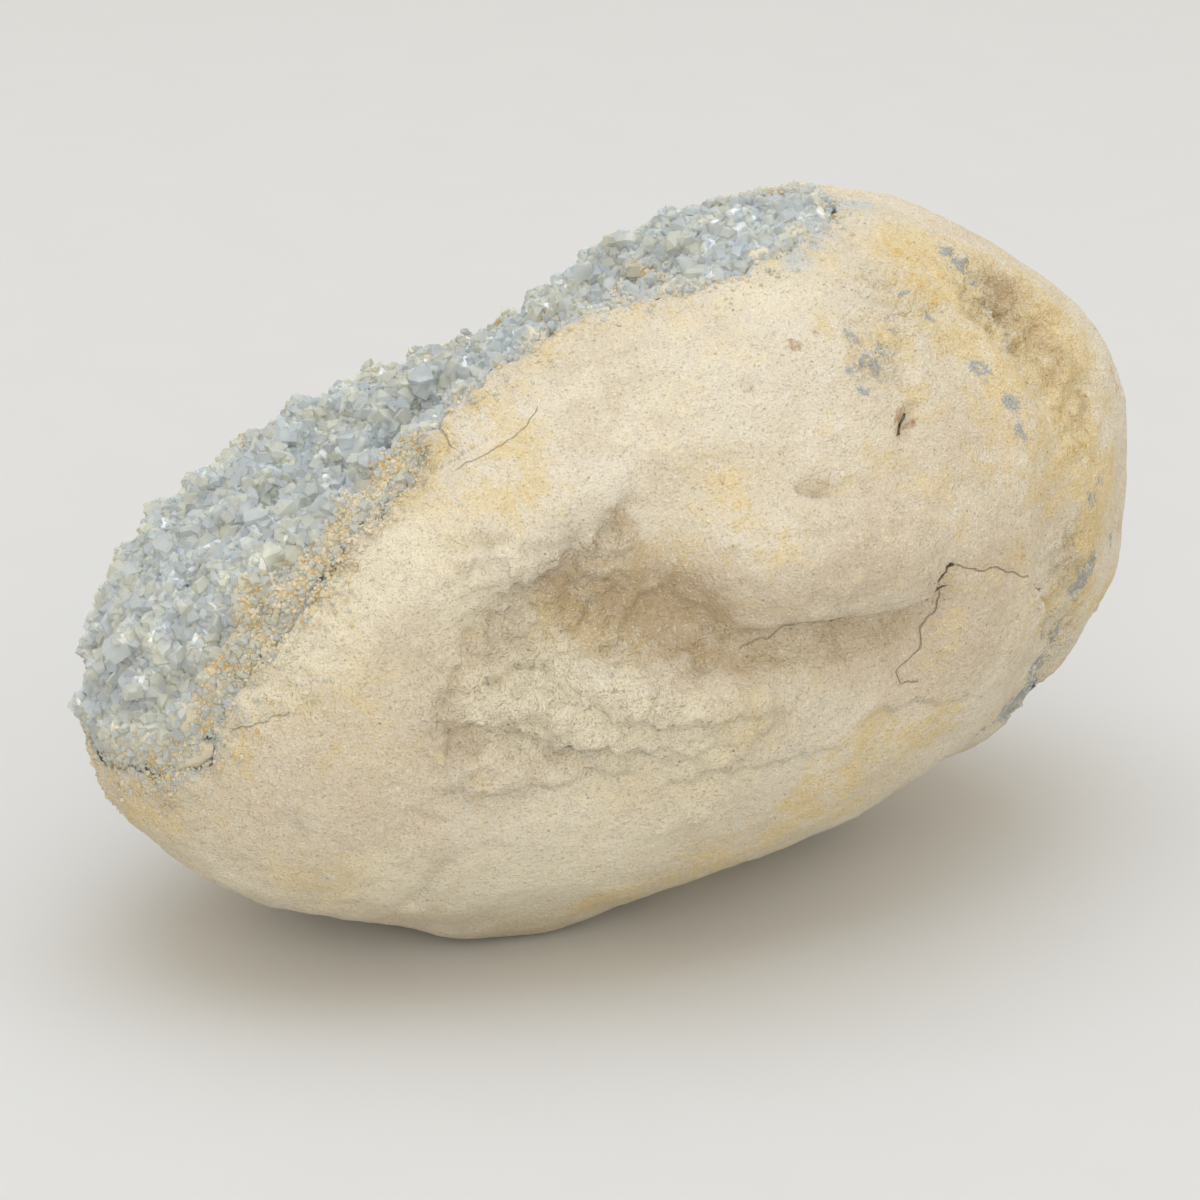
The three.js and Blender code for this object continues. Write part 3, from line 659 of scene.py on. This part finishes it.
# Paints layers over a colour, each where its stored mark and noises pass a level; some of the stone's marks
# are painted shade and painted light
def paintLayers(tree, colour, layers, noises):
    for stain, amounts, low, high, cover, shade in layers:
        value = 0.0 if stain is None else addNode(tree, "Attribute", {"attribute_name": stain}, "Fac")
        for name, amount in amounts.items():
            added = {"operation": "MULTIPLY_ADD", 0: noises[name], 1: amount, 2: value}
            value = addNode(tree, "Math", added, 0)
        shift = sum(amounts.values()) / 2  # a noise is around 0.5
        span = {"From Min": low + shift, "From Max": high + shift, "To Max": cover}
        share = addNode(tree, "MapRange", {"Value": value, "interpolation_type": "SMOOTHSTEP", **span}, 0)
        colour = addNode(tree, "Mix", {"data_type": "RGBA", 0: share, 6: colour, 7: shade}, 2)
    return colour


# Chalky limestone, weathered and brushed clean: dry, matt and sandy to the eye, with iron stains in its
# pores. Its colour also holds painted shade in the dent, under the lobe and on the right side, and painted
# light along the lower edge
def limestoneMaterial():
    material, tree, place, noises = newMaterial("limestone_chalky_weathered", stone["noises"])
    colour = paintLayers(tree, stone["body"], stone["layers"], noises)
    # dark mineral dots, one in some of the cells
    dots = addNode(tree, "TexVoronoi", {"Vector": place, "Scale": 1 / (stone["dots"]["cell"] * mm)})
    picked = addNode(tree, "SeparateColor", {0: dots.outputs["Color"]}, 0)
    span = {"From Min": 0.15, "From Max": 0.07}
    disc = addNode(tree, "MapRange", {"Value": dots.outputs["Distance"], **span}, 0)
    span = {"From Min": 0.8, "From Max": 0.86, "To Max": 0.5}
    chosen = addNode(tree, "MapRange", {"Value": picked, **span}, 0)
    dot = addNode(tree, "Math", {"operation": "MULTIPLY", 0: disc, 1: chosen}, 0)
    colour = addNode(tree, "Mix", {"data_type": "RGBA", 0: dot, 6: colour, 7: stone["dots"]["colour"]}, 2)
    crack = 0.0
    for layer in stone["crackLayers"]:
        near = addNode(tree, "Attribute", {"attribute_name": layer + "Near"}, "Fac")
        side = addNode(tree, "Attribute", {"attribute_name": layer + "Side"}, "Fac")
        side = addNode(tree, "Math", {"operation": "ABSOLUTE", 0: side}, 0)
        inside = addNode(tree, "Math", {"operation": "SUBTRACT", 0: near, 1: side}, 0)
        line = addNode(tree, "MapRange", {"Value": inside, "From Min": -0.08, "From Max": 0.03}, 0)
        there = addNode(tree, "MapRange", {"Value": near, "From Max": 0.18}, 0)
        line = addNode(tree, "Math", {"operation": "MULTIPLY", 0: line, 1: there}, 0)
        crack = addNode(tree, "Math", {"operation": "MAXIMUM", 0: crack, 1: line}, 0)
    span = {"From Min": 0.3, "From Max": 0.55, "To Min": 0.5, "To Max": 0.95}
    dusty = addNode(tree, "MapRange", {"Value": noises["sand"], **span}, 0)  # sand fills the cracks unevenly
    dusty = addNode(tree, "Math", {"operation": "MULTIPLY", 0: crack, 1: dusty}, 0)
    colour = addNode(tree, "Mix", {"data_type": "RGBA", 0: dusty, 6: colour, 7: stone["crackColour"]}, 2)

    height = 0.0
    rough = addNode(tree, "Attribute", {"attribute_name": "rough"}, "Fac")
    for name, (smooth, added) in stone["relief"].items():
        amount = addNode(tree, "Math", {"operation": "MULTIPLY_ADD", 0: rough, 1: added, 2: smooth}, 0)
        added = {"operation": "MULTIPLY_ADD", 0: noises[name], 1: amount, 2: height}
        height = addNode(tree, "Math", added, 0)
    added = {"operation": "MULTIPLY_ADD", 0: crack, 1: -stone["crackDepth"], 2: height}
    height = addNode(tree, "Math", added, 0)
    look = stone["chips"]
    bent = {"operation": "MULTIPLY_ADD", 0: noises["crumb"], 1: (look["bend"] * mm,) * 3, 2: place}
    bent = addNode(tree, "VectorMath", bent, 0)
    chips = addNode(tree, "TexVoronoi", {"Vector": bent, "Scale": 1 / (look["cell"] * mm)}, "Distance")
    chips = addNode(tree, "Math", {"operation": "MULTIPLY", 0: chips, 1: rough}, 0)
    added = {"operation": "MULTIPLY_ADD", 0: chips, 1: -look["height"], 2: height}
    height = addNode(tree, "Math", added, 0)
    bump = addNode(tree, "Bump", {"Strength": 1.0, "Distance": mm, "Height": height}, 0)
    look = {"Base Color": colour, "Normal": bump, "Roughness": 0.94, "Specular IOR Level": 0.25, "IOR": 1.5}
    shader = addNode(tree, "BsdfPrincipled", look, 0)
    addNode(tree, "OutputMaterial", {"Surface": shader})
    return material


nodule = makeStone()
rimAway, slate = shapeStone(nodule)
nodule.data.materials.append(limestoneMaterial())
selectOnly(nodule)
bpy.ops.object.shade_smooth()
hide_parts("matrix")
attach(nodule, "root")
print("limestone nodule shaped:", len(nodule.data.polygons), "faces")


# The crystals, and the bed that they stand on
druse = {
    "voxel": 1.2 * mm,
    "smoothTurns": 5,
    "sink": 0.8,  # mm that the bed lies under the crystals' tips
    "root": 0.9,  # mm that its sides grow into the limestone, so that no gap shows along the rim
    "bedTop": {"up": (-0.1, 0.3), "inside": (0.0, 3.0)},  # the part of the bed that is lumpy
    "bedLumps": [(1.5, 9.0, 3, 20.0), (0.4, 2.5, 2, 21.0)],
    # tries, mm between crystals, smallest and largest in mm, lean, share below the bed, and seed
    "large": {"tries": 30000, "spacing": 1.35, "size": (1.5, 3.9), "lean": 1.0, "sunk": 0.55, "seed": 11},
    "small": {"tries": 40000, "spacing": 1.0, "size": (1.1, 2.1), "lean": 1.1, "sunk": 0.5, "seed": 12},
    "stray": {"tries": 6000, "spacing": 0.8, "size": (0.6, 1.9), "lean": 1.2, "sunk": 0.5, "seed": 13},
    "crumb": {"tries": 50000, "spacing": 0.5, "size": (0.5, 1.2), "lean": 1.5, "sunk": 0.5, "seed": 14},
    "rimSize": 0.35,  # share of the range of sizes that the crystals by the rim have
    "fullSize": (0.0, 6.0),  # mm inside the rim over which they grow to the whole of it
    "leanUnit": 0.5,
    "stretch": (0.8, 1.25),
    "ridgeDepth": 0.2,  # a tip's depth, as a share of the crystal's
    "rootTaper": 0.7,
    "tints": (0.5, 0.35),  # mean and spread
    # the noises of frosting, in mm, the crystals' pale blue body, and the layers over it: warmer crystals,
    # frost and iron stain
    "noises": {"frost": (0.7, 3, 0.6), "cloud": (8.0, 4, 0.6)},
    "body": "#ecf2f5",
    "layers": [
        ("tint", {"cloud": 1.6}, 0.2, 0.9, 1.0, "#fbfbef"),
        (None, {"frost": 1.0}, 0.0, 0.25, 0.5, "#fefefb"),
        ("stain", {"frost": 1.0}, 0.3, 1.2, 0.7, "#f3e6c3"),
    ],
    # the bed is opaque, and stained with iron where it meets the limestone
    "bedLayers": [
        ("tint", {"cloud": 1.6}, 0.2, 0.9, 1.0, "#f8f9f3"),
        ("stain", {"frost": 1.0}, 0.0, 0.6, 0.95, "#d9cfb7"),
        ("stain", {"frost": 2.0, "cloud": 1.0}, 0.9, 1.5, 0.8, "#c6a76c"),
    ],
    # crumbs of stone and crystal at the rim: cream, dull yellow and grey
    "crumbColour": "#d8cfb9",
    "crumbLayers": [
        ("tint", {"cloud": 1.4}, 0.2, 0.8, 0.9, "#d5c295"),
        ("stain", {"cloud": 1.5}, 0.6, 1.2, 0.9, "#cbae70"),
        ("tint", {"frost": 1.0}, 0.6, 0.9, 0.85, "#b9bfbe"),
    ],
}


def makeBed():
    piece = copyOfNode("crystal_crust", "druse_bed")
    applyModifier(piece, "REMESH", mode="VOXEL", voxel_size=druse["voxel"])
    applyModifier(piece, "SMOOTH", factor=0.5, iterations=druse["smoothTurns"])
    spots, normals = spotsOf(piece)
    top = smoothStep(*druse["bedTop"]["up"], normals @ np.array(openingUp))
    top *= smoothStep(*druse["bedTop"]["inside"], rimReach(spots))
    lift = heaped(spots, druse["bedLumps"], -druse["sink"])
    lift = lift * top + druse["root"] * (1 - top)
    moveSpots(piece, spots + normals * lift[:, None])
    return piece


# One crystal, root at 0 and tip at 1: a block drawn in at its root, with a chisel tip over its shoulder. It
# is given back as its corners, loops and faces' sizes
def crystalShape(width, depth, shoulder, ridge):
    bpy.ops.object.select_all(action="DESELECT")
    bpy.ops.mesh.primitive_cube_add(size=1, location=(0, 0, 0))
    block = bpy.context.object
    bpy.ops.object.mode_set(mode="EDIT")
    bpy.ops.mesh.select_all(action="SELECT")
    bpy.ops.transform.translate(value=(0, 0, 0.5))
    bpy.ops.transform.resize(value=(width, depth, shoulder), center_override=(0, 0, 0))
    bpy.ops.object.mode_set(mode="OBJECT")
    selectFaces(block, np.array([face.normal.z > 0.5 for face in block.data.polygons]))
    bpy.ops.object.mode_set(mode="EDIT")
    bpy.ops.mesh.extrude_region_move(TRANSFORM_OT_translate={"value": (0, 0, 1 - shoulder)})
    bpy.ops.transform.resize(value=(ridge, druse["ridgeDepth"], 1))
    bpy.ops.object.mode_set(mode="OBJECT")
    selectFaces(block, np.array([face.normal.z < -0.5 for face in block.data.polygons]))
    bpy.ops.object.mode_set(mode="EDIT")
    bpy.ops.transform.resize(value=(druse["rootTaper"], druse["rootTaper"], 1))
    bpy.ops.object.mode_set(mode="OBJECT")
    mesh = block.data
    corners = valuesOf(mesh.vertices, "co", 3)
    loops = valuesOf(mesh.loops, "vertex_index", kind=int)
    totals = valuesOf(mesh.polygons, "loop_total", kind=int)
    bpy.data.objects.remove(block)
    return corners, loops, totals


# Spread places over triangles, more where the weight is high, each clear of those before it
def spread(triangles, weights, look, random):
    chosen = random.choice(len(triangles), look["tries"], p=weights / weights.sum())
    a, b = random.random((2, look["tries"], 1))
    flip = a + b > 1
    a, b = np.where(flip, 1 - a, a), np.where(flip, 1 - b, b)
    corner = triangles[chosen]
    places = corner[:, 0] + a * (corner[:, 1] - corner[:, 0]) + b * (corner[:, 2] - corner[:, 0])
    facing = np.cross(corner[:, 1] - corner[:, 0], corner[:, 2] - corner[:, 0])
    facing /= np.linalg.norm(facing, axis=1, keepdims=True)
    cells = {}
    kept = []
    gap = look["spacing"]
    neighbours = [(x, y, z) for x in (-1, 0, 1) for y in (-1, 0, 1) for z in (-1, 0, 1)]
    for i, (x, y, z) in enumerate(np.floor(places / gap).astype(int).tolist()):
        near = [k for dx, dy, dz in neighbours for k in cells.get((x + dx, y + dy, z + dz), ())]
        if not near or np.min(np.sum((places[near] - places[i]) ** 2, axis=1)) > gap * gap:
            cells.setdefault((x, y, z), []).append(i)
            kept.append(i)
    return places[kept], facing[kept], chosen[kept]


# Copies of the modelled crystals, joined in one mesh, each standing on its place and leaning its own way
def joinCrystals(name, shapes, places, facing, sizes, look, random, values):
    count = len(places)
    kind = random.integers(0, len(shapes), count)
    axis = facing + look["lean"] * random.normal(size=(count, 3)) * druse["leanUnit"]
    axis /= np.linalg.norm(axis, axis=1, keepdims=True)
    side = np.cross(axis, random.normal(size=(count, 3)))
    side /= np.linalg.norm(side, axis=1, keepdims=True)
    third = np.cross(axis, side)
    stretch = random.uniform(*druse["stretch"], (count, 2))
    placed, joined, totals, owners = [], [], [], []
    start = 0
    for k, (corners, loops, sizesOfFaces) in enumerate(shapes):
        of = np.nonzero(kind == k)[0]
        body = np.repeat(corners[None], len(of), 0)
        body[:, :, :2] *= stretch[of][:, None]
        body[:, :, 2] -= look["sunk"]
        turned = body[:, :, :1] * side[of][:, None] + body[:, :, 1:2] * third[of][:, None]
        turned += body[:, :, 2:] * axis[of][:, None]
        placed.append((places[of][:, None] + turned * sizes[of][:, None, None]).reshape(-1, 3))
        joined.append((loops[None] + start + np.arange(len(of))[:, None] * len(corners)).ravel())
        totals.append(np.tile(sizesOfFaces, len(of)))
        owners.append(np.repeat(of, len(corners)))
        start += len(of) * len(corners)
    placed, joined, totals, owners = (np.concatenate(part) for part in (placed, joined, totals, owners))
    mesh = bpy.data.meshes.new(name)
    mesh.vertices.add(len(placed))
    mesh.vertices.foreach_set("co", (placed * mm + np.array(noduleMiddle)).ravel())
    mesh.loops.add(len(joined))
    mesh.loops.foreach_set("vertex_index", joined)
    mesh.polygons.add(len(totals))
    mesh.polygons.foreach_set("loop_start", np.concatenate([[0], np.cumsum(totals)[:-1]]))
    mesh.update(calc_edges=True)
    mesh.validate()
    piece = bpy.data.objects.new(name, mesh)
    bpy.context.scene.collection.objects.link(piece)
    selectOnly(piece)
    bpy.ops.object.shade_flat()
    for key, value in values.items():
        storeValue(piece, key, value[owners])
    print(name, "grown:", count, "crystals with", int(np.sum(totals - 2)), "triangles")
    return piece


# Frosted celestite: etched crystals that let part of the light through and glint where a face is cleaner. The
# bed under them is the same, but opaque
def celestiteMaterial(name, layers, transmission, etching):
    material, tree, _, noises = newMaterial(name, druse["noises"])
    colour = paintLayers(tree, druse["body"], layers, noises)
    span = {"From Min": 0.3, "From Max": 0.7, "To Min": 0.38, "To Max": 0.7}
    rough = addNode(tree, "MapRange", {"Value": noises["frost"], **span}, 0)
    bump = addNode(tree, "Bump", {"Strength": etching, "Distance": 0.25 * mm, "Height": noises["frost"]}, 0)
    look = {"Base Color": colour, "Roughness": rough, "Normal": bump, "Transmission Weight": transmission}
    look["IOR"] = 1.35  # the mineral has 1.62, which makes a druse of separate crystals too dark
    shader = addNode(tree, "BsdfPrincipled", look, 0)
    addNode(tree, "OutputMaterial", {"Surface": shader})
    return material


# Iron-stained crumbs of limestone and druse: opaque and sandy, cream to dull yellow, with some grey
def crumbMaterial():
    material, tree, _, noises = newMaterial("iron_stained_crumbs", druse["noises"])
    colour = paintLayers(tree, druse["crumbColour"], druse["crumbLayers"], noises)
    bump = addNode(tree, "Bump", {"Strength": 0.8, "Distance": 0.3 * mm, "Height": noises["frost"]}, 0)
    look = {"Base Color": colour, "Roughness": 0.9, "Normal": bump, "Specular IOR Level": 0.3}
    shader = addNode(tree, "BsdfPrincipled", look, 0)
    addNode(tree, "OutputMaterial", {"Surface": shader})
    return material


def trianglesOf(piece):
    mesh = piece.data
    mesh.calc_loop_triangles()
    corners = valuesOf(mesh.loop_triangles, "vertices", 3, int)
    triangles = spotsOf(piece)[0][corners]
    sides = np.cross(triangles[:, 1] - triangles[:, 0], triangles[:, 2] - triangles[:, 0])
    areas = np.linalg.norm(sides, axis=1) / 2
    return triangles, corners, areas, sides / (2 * areas[:, None] + 1e-12)


bed = makeBed()
bedSpots = spotsOf(bed)[0]
skins = [BVHTree.FromObject(piece, bpy.context.evaluated_depsgraph_get()) for piece in (nodule, bed)]


# Where the broken rim sheds crumbs and stray crystals. A pair is where a thing starts and where it is full, a
# triple is the size, octaves and shift of its lumps, and lengths are in mm
wear = {
    "crumbReach": 3.5,
    "crumbPatches": ((0.1, 0.5), (8.0, 2, 30.0)),
    "crumbsAbove": -25,  # height in the opening, so that none are on the underside
    "farSide": (10, 25),
    "mottle": (0.5, 2.5, 2, 32.0),
    "mottledFrom": 0.1,
    "bedTint": (0.4, (0.4, 4.0, 2, 31.0)),
    "bedStain": {"crumbs": 1.2, "rim": 0.9, "reach": (2.5, 0.0)},
    "bedFaces": {"up": -0.05, "inside": -0.5},
    "outside": (1.5, -0.5),
    "farEdge": {"reach": (4.5, 2.0), "across": (0, 8), "along": (-76, -66)},  # the left end's lip is bare
    "clusters": ((-0.1, 0.5), (4.0, 2, 40.0)),
    "nearEdge": {"reach": (7.0, 0.5), "least": 0.02, "clustered": 0.25},
    "spotted": {"slate": (0.6, 0.9), "share": 0.5},
    "straysAbove": -46,  # none under the foot
    "nearCrumbs": 0.15,
    "thinned": {"large": (1, 2), "small": (0.8, 1)},  # how crumbs take the place of crystals: share and power
    "stains": {"stray": 0.7, "druse": 0.6},
    "crumbRoom": 0.6,
}


def inPatches(spots, name):
    (low, high), shape = wear[name]
    return smoothStep(low, high, lumps(spots, *shape))


# How far crumbs cover a spot: in the marked places, and in a few patches along the far side of the rim
def crumbsOn(spots):
    edge = np.exp(-((rimReach(spots) / wear["crumbReach"]) ** 2)) * inPatches(spots, "crumbPatches")
    edge *= onAxis(spots, openingUp) > wear["crumbsAbove"]
    edge = edge * smoothStep(*wear["farSide"], onAxis(spots, openingAcross))
    cover = np.maximum(blotches(spots, skins, stone["crumbs"]), edge)
    return np.clip(cover + heaped(spots, [wear["mottle"]]) * (cover > wear["mottledFrom"]), 0, 1)


bedTint, bedTintLumps = wear["bedTint"]
storeValue(bed, "tint", bedTint + heaped(bedSpots, [bedTintLumps]))
edgeStain = wear["bedStain"]["rim"] * smoothStep(*wear["bedStain"]["reach"], rimReach(bedSpots))
storeValue(bed, "stain", np.maximum(wear["bedStain"]["crumbs"] * crumbsOn(bedSpots), edgeStain))
bed.data.materials.append(celestiteMaterial("celestite_frosted_bed", druse["bedLayers"], 0.0, 0.9))
selectOnly(bed)
bpy.ops.object.shade_smooth()
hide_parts("crystal_crust")
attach(bed, "root")
print("bed of the druse shaped:", len(bed.data.polygons), "faces")

# width, depth, shoulder height and ridge length of each form, as shares of the crystal's size
forms = {
    "large": [(0.74, 0.6, 0.62, 0.45), (0.66, 0.64, 0.7, 0.65), (0.9, 0.5, 0.66, 0.5)],
    "small": [(0.8, 0.7, 0.6, 0.5), (0.9, 0.62, 0.7, 0.4)],
}
shapes = {key: [crystalShape(*form) for form in made] for key, made in forms.items()}
shapes["stray"] = shapes["crumb"] = shapes["small"]

frosted = celestiteMaterial("celestite_frosted_crystal", druse["layers"], 0.62, 0.15)
crumbly = crumbMaterial()
bedTriangles, _, bedAreas, bedFacing = trianglesOf(bed)
bedMiddles = bedTriangles.mean(axis=1)
facesOut = bedFacing @ np.array(openingUp) > wear["bedFaces"]["up"]
onTop = bedAreas * facesOut * (rimReach(bedMiddles) > wear["bedFaces"]["inside"])
bedCrumbs = crumbsOn(bedMiddles)

# Stray crystals on the limestone: over its far edge, by its near edge, and in the blue-grey spots
stoneTriangles, stoneCorners, stoneAreas, _ = trianglesOf(nodule)
stoneMiddles = stoneTriangles.mean(axis=1)
stoneAway = rimAway[stoneCorners].mean(axis=1)
outside = smoothStep(*wear["outside"], rimReach(stoneMiddles))
farEdge = smoothStep(*wear["farEdge"]["reach"], stoneAway)
farEdge *= smoothStep(*wear["farEdge"]["across"], onAxis(stoneMiddles, openingAcross))
farEdge *= smoothStep(*wear["farEdge"]["along"], stoneMiddles[:, 0])
clusters = inPatches(stoneMiddles, "clusters")
nearEdge = smoothStep(*wear["nearEdge"]["reach"], stoneAway)
nearEdge *= wear["nearEdge"]["least"] + wear["nearEdge"]["clustered"] * clusters
spotted = smoothStep(*wear["spotted"]["slate"], slate[stoneCorners].mean(axis=1)) * clusters
spotted *= wear["spotted"]["share"]
strayWeights = stoneAreas * np.maximum(outside * np.maximum(farEdge, nearEdge), spotted)
strayWeights *= stoneMiddles[:, 2] > wear["straysAbove"]

stoneCrumbs = np.maximum(crumbsOn(stoneMiddles), wear["nearCrumbs"] * nearEdge)
crumbTriangles = np.concatenate([bedTriangles, stoneTriangles])
crumbWeights = np.concatenate([onTop * bedCrumbs, stoneAreas * outside * stoneCrumbs])
(largeShare, largePower), (smallShare, smallPower) = wear["thinned"].values()

for key, triangles, weights in (
    ("large", bedTriangles, onTop * (1 - largeShare * bedCrumbs) ** largePower),
    ("small", bedTriangles, onTop * (1 - smallShare * bedCrumbs) ** smallPower),
    ("stray", stoneTriangles, strayWeights),
    ("crumb", crumbTriangles, crumbWeights),
):
    look = druse[key]
    random = np.random.default_rng(look["seed"])
    places, facing, chosen = spread(triangles, weights, look, random)
    low, high = look["size"]
    if key == "stray":
        room = farEdge[chosen]
        stains = (1 - room) * outside[chosen] * random.random(len(places)) * wear["stains"]["stray"]
    elif key == "crumb":
        room = np.full(len(places), wear["crumbRoom"])
        stains = random.random(len(places))
    else:
        room = smoothStep(*druse["fullSize"], rimReach(places))
        stains = wear["stains"]["druse"] * crumbsOn(places)
    share = random.random(len(places)) ** 2  # small ones are far more common
    sizes = low + (high - low) * share * (druse["rimSize"] + (1 - druse["rimSize"]) * room)
    meanTint, tintSpread = druse["tints"]
    tints = np.clip(meanTint + tintSpread * random.normal(size=len(places)), 0, 1)
    values = {"tint": tints, "stain": stains}
    name = "rim_crumbs" if key == "crumb" else "crystals_" + key
    piece = joinCrystals(name, shapes[key], places, facing, sizes, look, random, values)
    piece.data.materials.append(crumbly if key == "crumb" else frosted)
    if key in ("large", "small"):
        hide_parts("crystal_crust")
    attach(piece, "root")


# The floor and the light
studio = {
    "floorSide": 8.0,
    "board": ("#cfcfcd", "#d2d2d0"),
    "fleck": (25, 3, 0.5),
    "sky": "#fff7e9",
    "skyStrength": 0.85,
    "lamp": "#d5e6ff",
    "lampSide": 1.5,
    "lampSpot": (0.05, 0.1, 1.65),
    "lampPower": 14.0,
    "fillSize": (1.6, 0.9),
    "fillSpot": (-0.55, -1.3, 0.75),  # a white sheet behind the camera, which lifts the shadow
    "fillPower": 6.0,
}


def makeFloor():
    bpy.ops.object.select_all(action="DESELECT")
    bpy.ops.mesh.primitive_plane_add(size=studio["floorSide"], location=(0, 0, 0))
    floor = bpy.context.object
    floor.name = "pale_floor"
    material, tree, _, noises = newMaterial("matt_white_board", {"fleck": studio["fleck"]})
    plain, flecked = studio["board"]
    board = {"data_type": "RGBA", 0: noises["fleck"], 6: plain, 7: flecked}
    board = addNode(tree, "Mix", board, 2)
    look = {"Base Color": board, "Roughness": 0.7, "Specular IOR Level": 0.2}
    shader = addNode(tree, "BsdfPrincipled", look, 0)
    addNode(tree, "OutputMaterial", {"Surface": shader})
    floor.data.materials.append(material)


def makeLight():
    world = bpy.data.worlds.new("white_tent")
    bpy.context.scene.world = world
    world.use_nodes = True
    background = world.node_tree.nodes["Background"]
    background.inputs["Color"].default_value = linearColour(studio["sky"])
    background.inputs["Strength"].default_value = studio["skyStrength"]
    bpy.ops.object.light_add(type="AREA", location=studio["lampSpot"])
    lamp = bpy.context.object
    lamp.data.shape = "SQUARE"
    lamp.data.size = studio["lampSide"]
    lamp.data.energy = studio["lampPower"]
    lamp.data.color = linearColour(studio["lamp"])[:3]
    bpy.ops.object.light_add(type="AREA", location=studio["fillSpot"])
    fill = bpy.context.object
    fill.rotation_euler = Vector(studio["fillSpot"]).to_track_quat("Z", "Y").to_euler()
    fill.data.shape = "RECTANGLE"
    fill.data.size, fill.data.size_y = studio["fillSize"]
    fill.data.energy = studio["fillPower"]


makeFloor()
makeLight()
bpy.context.scene.view_settings.view_transform = "Standard"
print("floor and light set")
